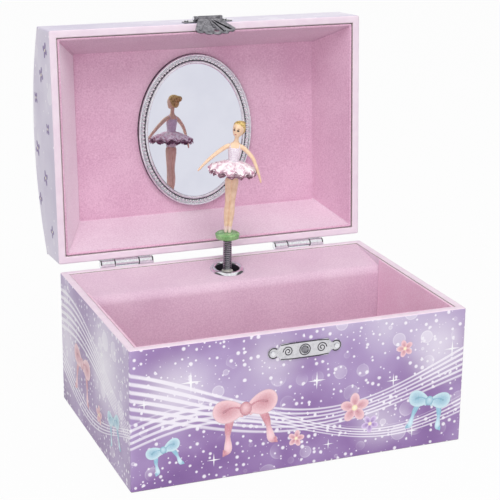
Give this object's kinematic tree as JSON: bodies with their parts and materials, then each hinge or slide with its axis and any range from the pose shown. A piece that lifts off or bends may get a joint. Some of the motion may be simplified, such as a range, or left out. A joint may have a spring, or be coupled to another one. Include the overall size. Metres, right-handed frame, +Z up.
{
  "type": "musical jewellery box",
  "caption": "Paper-covered jewellery box with a domed hinged lid, oval mirror, flocked tray and a wind-up movement that turns a spring-mounted dancer",
  "frame": {"origin": "centre of the base's underside, which rests on the table", "axes": "+X to the right seen from the front, +Y to the back where the hinges are, +Z up; lid open"},
  "size_m": [0.152, 0.151, 0.1746],
  "materials": {
    "grey_board": "raw board",
    "base_print": "satin print",
    "lid_print": "satin print",
    "flock": "flocked",
    "bright_plate": "polished plate",
    "nickel_steel": "nickel plated",
    "mirror": "polished",
    "mirror_frame": "silvered plastic",
    "brass": "machined",
    "zinc": "die cast",
    "white_plastic": "moulded",
    "green_plastic": "moulded",
    "figure_plastic": "moulded and painted",
    "tulle": "stiffened tulle"
  },
  "bodies": {
    "base": {"base_front_wall": "grey_board", "base_back_wall": "grey_board", "base_left_wall": "grey_board", "base_right_wall": "grey_board", "base_bottom_board": "grey_board", "base_paper_cover": "base_print", "tray_lining": "flock", "movement_cover": "flock", "spindle_eyelet": "bright_plate", "latch_keeper": "bright_plate", "latch_stud": "bright_plate", "keeper_nails": "bright_plate", "hinge_base_leaf_left": "bright_plate", "hinge_base_leaf_right": "bright_plate", "hinge_pins": "bright_plate", "hinge_base_nails": "bright_plate", "movement_bedplate": "zinc", "movement_screws": "nickel_steel", "comb": "nickel_steel", "comb_screws": "nickel_steel", "spindle_bracket": "nickel_steel", "governor_frame": "nickel_steel"},
    "lid": {"lid_front_wall": "grey_board", "lid_back_wall": "grey_board", "lid_left_end": "grey_board", "lid_right_end": "grey_board", "lid_dome": "grey_board", "lid_paper_cover": "lid_print", "lid_lining": "flock", "mirror_frame": "mirror_frame", "mirror_glass": "mirror", "hinge_lid_leaf_left": "bright_plate", "hinge_lid_leaf_right": "bright_plate", "hinge_lid_nails": "bright_plate", "lid_latch_plate": "bright_plate", "lid_latch_nails": "bright_plate"},
    "hasp_pin": {"hasp_pin": "bright_plate"},
    "hasp": {"latch_hasp": "bright_plate"},
    "spring": {"dancer_spring": "nickel_steel"},
    "dancer": {"dancer_stand": "green_plastic", "dancer_figure": "figure_plastic", "dancer_tutu": "tulle"},
    "spindle": {"dancer_spindle": "white_plastic"},
    "barrel": {"spring_barrel": "zinc", "barrel_cap": "zinc", "mainspring": "nickel_steel"},
    "key": {"winding_arbor": "nickel_steel", "winding_key": "nickel_steel"},
    "cylinder": {"pinned_cylinder": "brass"},
    "governor_wheel": {"governor_wheel": "brass"},
    "governor_fan": {"governor_fan": "white_plastic"},
    "stop_wire": {"stop_wire": "nickel_steel"}
  },
  "joints": [
    {"name": "lid_hinge", "type": "hinge", "parent": "base", "child": "lid", "pos_m": [0, 0.0555, 0.0629], "axis": [1, 0, 0], "range_deg": [0, 93.5]},
    {"name": "hasp_swing", "type": "hinge", "parent": "lid", "child": "hasp_pin", "pos_m": [0, 0.06477, 0.17354], "axis": [-1, 0, 0], "range_deg": [0, 24]},
    {"name": "hasp_lift", "type": "hinge", "parent": "hasp_pin", "child": "hasp", "pos_m": [0, 0.06477, 0.17354], "axis": [-1, 0, 0], "range_deg": [0, 80]},
    {"name": "dancer_fold", "type": "hinge", "parent": "base", "child": "spring", "pos_m": [0, 0.0375, 0.067], "axis": [1, 0, 0], "range_deg": [0, 96], "deforming": ["dancer_spring"]},
    {"name": "dancer_spin", "type": "hinge", "parent": "spring", "child": "dancer", "pos_m": [0, 0.0375, 0.0754], "axis": [0, 0, 1], "continuous": true},
    {"name": "spindle_spin", "type": "hinge", "parent": "base", "child": "spindle", "pos_m": [0, 0.0375, 0.045], "axis": [0, 0, 1], "continuous": true},
    {"name": "barrel_spin", "type": "hinge", "parent": "base", "child": "barrel", "pos_m": [0, 0.0424, 0.027], "axis": [0, 1, 0], "continuous": true},
    {"name": "key_turn", "type": "hinge", "parent": "base", "child": "key", "pos_m": [0, 0.056, 0.027], "axis": [0, 1, 0], "continuous": true},
    {"name": "cylinder_spin", "type": "hinge", "parent": "base", "child": "cylinder", "pos_m": [0.026, 0.0375, 0.027], "axis": [1, 0, 0], "continuous": true},
    {"name": "governor_wheel_spin", "type": "hinge", "parent": "base", "child": "governor_wheel", "pos_m": [0.0416, 0.0375, 0.01688], "axis": [1, 0, 0], "continuous": true},
    {"name": "governor_fan_spin", "type": "hinge", "parent": "base", "child": "governor_fan", "pos_m": [0.0416, 0.0375, 0.01043], "axis": [0, 1, 0], "continuous": true},
    {"name": "stop_slide", "type": "slide", "parent": "base", "child": "stop_wire", "axis": [0, 0, -1], "range_m": [0, 0.0016]}
  ],
  "couplings": [
    {"joint": "hasp_swing", "follows": "lid_hinge", "ratio": 0.25668},
    {"joint": "dancer_fold", "follows": "lid_hinge", "ratio": 1.02},
    {"joint": "stop_slide", "follows": "lid_hinge", "m_per_rad": 0.00098046},
    {"joint": "spindle_spin", "follows": "barrel_spin", "ratio": -3},
    {"joint": "dancer_spin", "follows": "barrel_spin", "ratio": -3},
    {"joint": "cylinder_spin", "follows": "barrel_spin", "ratio": -3},
    {"joint": "governor_wheel_spin", "follows": "barrel_spin", "ratio": 12},
    {"joint": "governor_fan_spin", "follows": "barrel_spin", "ratio": -288}
  ]
}
